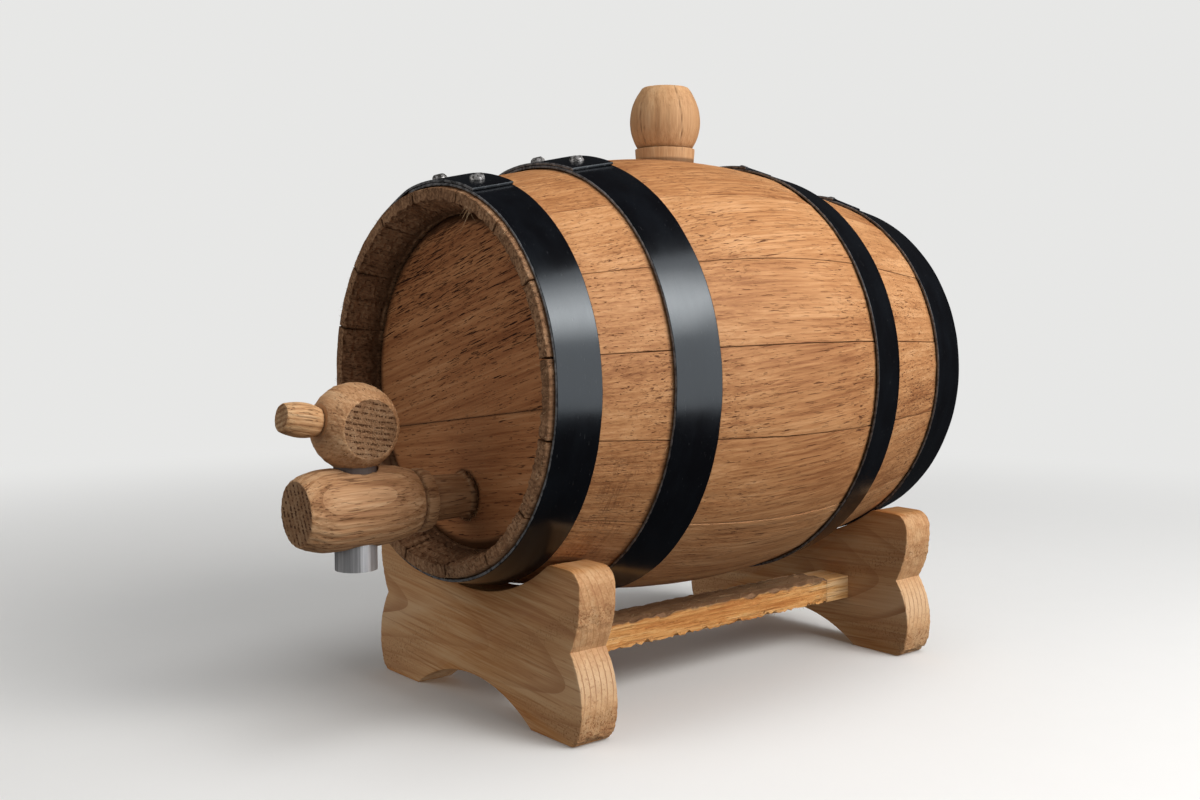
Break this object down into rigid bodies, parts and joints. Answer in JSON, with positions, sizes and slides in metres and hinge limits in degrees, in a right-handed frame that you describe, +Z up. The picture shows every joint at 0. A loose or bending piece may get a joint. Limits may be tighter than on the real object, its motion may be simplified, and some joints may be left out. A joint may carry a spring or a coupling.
{
  "type": "oak cask liquor dispenser",
  "caption": "Small oak cask lying on a wooden stand, bound with riveted steel hoops, with a tapered bung on top and a turned wooden tap in its front head.",
  "frame": {"origin": "on the table, under the middle of the whole object's bounding box", "axes": "+Z up; the cask lies along Y with its tap toward -Y; +X is on the right of someone who faces the tap"},
  "size_m": [0.1564, 0.252, 0.215],
  "materials": {
    "stave_oak": "raw oak",
    "head_oak": "raw oak, darkened",
    "dowel_wood": "raw",
    "hoop_steel": "black satin",
    "rivet_steel": "worn",
    "tap_oak": "turned oak",
    "tube_aluminium": "drawn",
    "bung_oak": "turned oak",
    "stand_pine": "raw pine"
  },
  "bodies": {
    "stand": {"front_board": "stand_pine", "rear_board": "stand_pine", "stretcher": "stand_pine"},
    "cask": {"stave_01": "stave_oak", "stave_02": "stave_oak", "stave_03": "stave_oak", "stave_04": "stave_oak", "stave_05": "stave_oak", "stave_06": "stave_oak", "stave_07": "stave_oak", "stave_08": "stave_oak", "stave_09": "stave_oak", "stave_10": "stave_oak", "stave_11": "stave_oak", "stave_12": "stave_oak", "stave_13": "stave_oak", "stave_14": "stave_oak", "stave_15": "stave_oak", "stave_16": "stave_oak", "front_head_upper": "head_oak", "front_head_lower": "head_oak", "rear_head_upper": "head_oak", "rear_head_lower": "head_oak", "front_head_dowels": "dowel_wood", "rear_head_dowels": "dowel_wood", "front_end_hoop": "hoop_steel", "front_quarter_hoop": "hoop_steel", "rear_quarter_hoop": "hoop_steel", "rear_end_hoop": "hoop_steel", "front_end_hoop_rivets": "rivet_steel", "front_quarter_hoop_rivets": "rivet_steel", "rear_quarter_hoop_rivets": "rivet_steel", "rear_end_hoop_rivets": "rivet_steel", "tap_body": "tap_oak"},
    "bung": {"bung": "bung_oak"},
    "tap_key": {"tap_ball": "tap_oak", "tap_handle": "tap_oak", "tap_tube": "tube_aluminium"}
  },
  "joints": [
    {"name": "cask_lift", "type": "slide", "parent": "stand", "child": "cask", "axis": [0, 0, 1], "range_m": [0, 0.08]},
    {"name": "bung_pull", "type": "slide", "parent": "cask", "child": "bung", "axis": [0, 0, 1], "range_m": [0, 0.045]},
    {"name": "tap_turn", "type": "hinge", "parent": "cask", "child": "tap_key", "pos_m": [0, -0.10056, 0.072], "axis": [0, 0, 1], "continuous": true}
  ]
}
